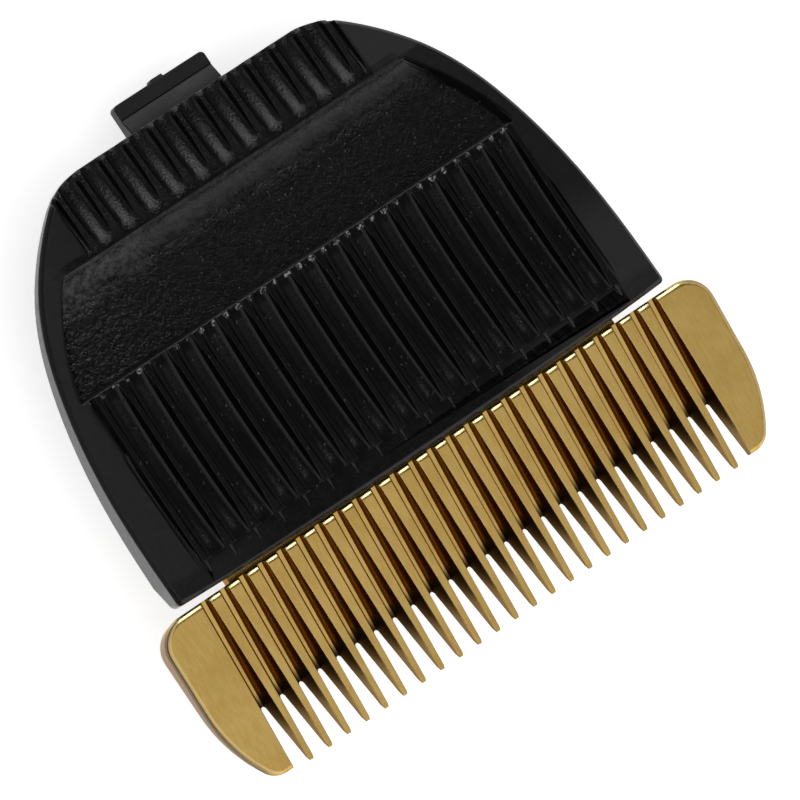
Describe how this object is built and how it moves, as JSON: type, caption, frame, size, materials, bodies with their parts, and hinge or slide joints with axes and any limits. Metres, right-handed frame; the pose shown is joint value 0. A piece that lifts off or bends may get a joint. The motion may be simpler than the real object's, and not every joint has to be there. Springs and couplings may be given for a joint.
{
  "type": "hair clipper blade",
  "caption": "Snap-in hair clipper blade: gold toothed comb plate with end ears, dark moving blade behind it, ribbed black holder with thumb scoop, cleaning lever and mounting hook.",
  "frame": {"origin": "on the surface the blade lies on, under the middle of its outline", "axes": "+X along the row of teeth, +Y from the teeth to the mounting hook, +Z out of the ribbed front"},
  "size_m": [0.0468, 0.0446, 0.01],
  "materials": {
    "gold_steel": "ground steel with a satin gold coating",
    "dark_steel": "ground steel with a dark coating",
    "black_plastic": "moulded, satin with a fine sparkle",
    "frame_plastic": "moulded, matt",
    "drive_plastic": "slippery moulded plastic, satin",
    "lever_plastic": "moulded, matt",
    "plain_steel": "drawn steel"
  },
  "bodies": {
    "holder": {"stationary_blade": "gold_steel", "blade_screws": "plain_steel", "front_cover": "black_plastic", "rear_frame": "frame_plastic", "pressure_spring": "plain_steel"},
    "length_slider": {"pivot_shaft": "plain_steel"},
    "rocker": {"cleaning_lever": "lever_plastic"},
    "cutter": {"moving_blade": "dark_steel", "drive_block": "drive_plastic"}
  },
  "joints": [
    {"name": "cut_length", "type": "slide", "parent": "holder", "child": "length_slider", "axis": [0, -1, 0], "range_m": [0, 0.002]},
    {"name": "cleaning_tilt", "type": "hinge", "parent": "length_slider", "child": "rocker", "pos_m": [0, 0.00625, 0.0045], "axis": [1, 0, 0], "range_deg": [0, 8], "stiffness_Nm_per_rad": 0.05, "springref_deg": -20.05, "deforming": ["pressure_spring"]},
    {"name": "cutting_stroke", "type": "slide", "parent": "rocker", "child": "cutter", "axis": [1, 0, 0], "range_m": [-0.0012, 0.0012]}
  ]
}
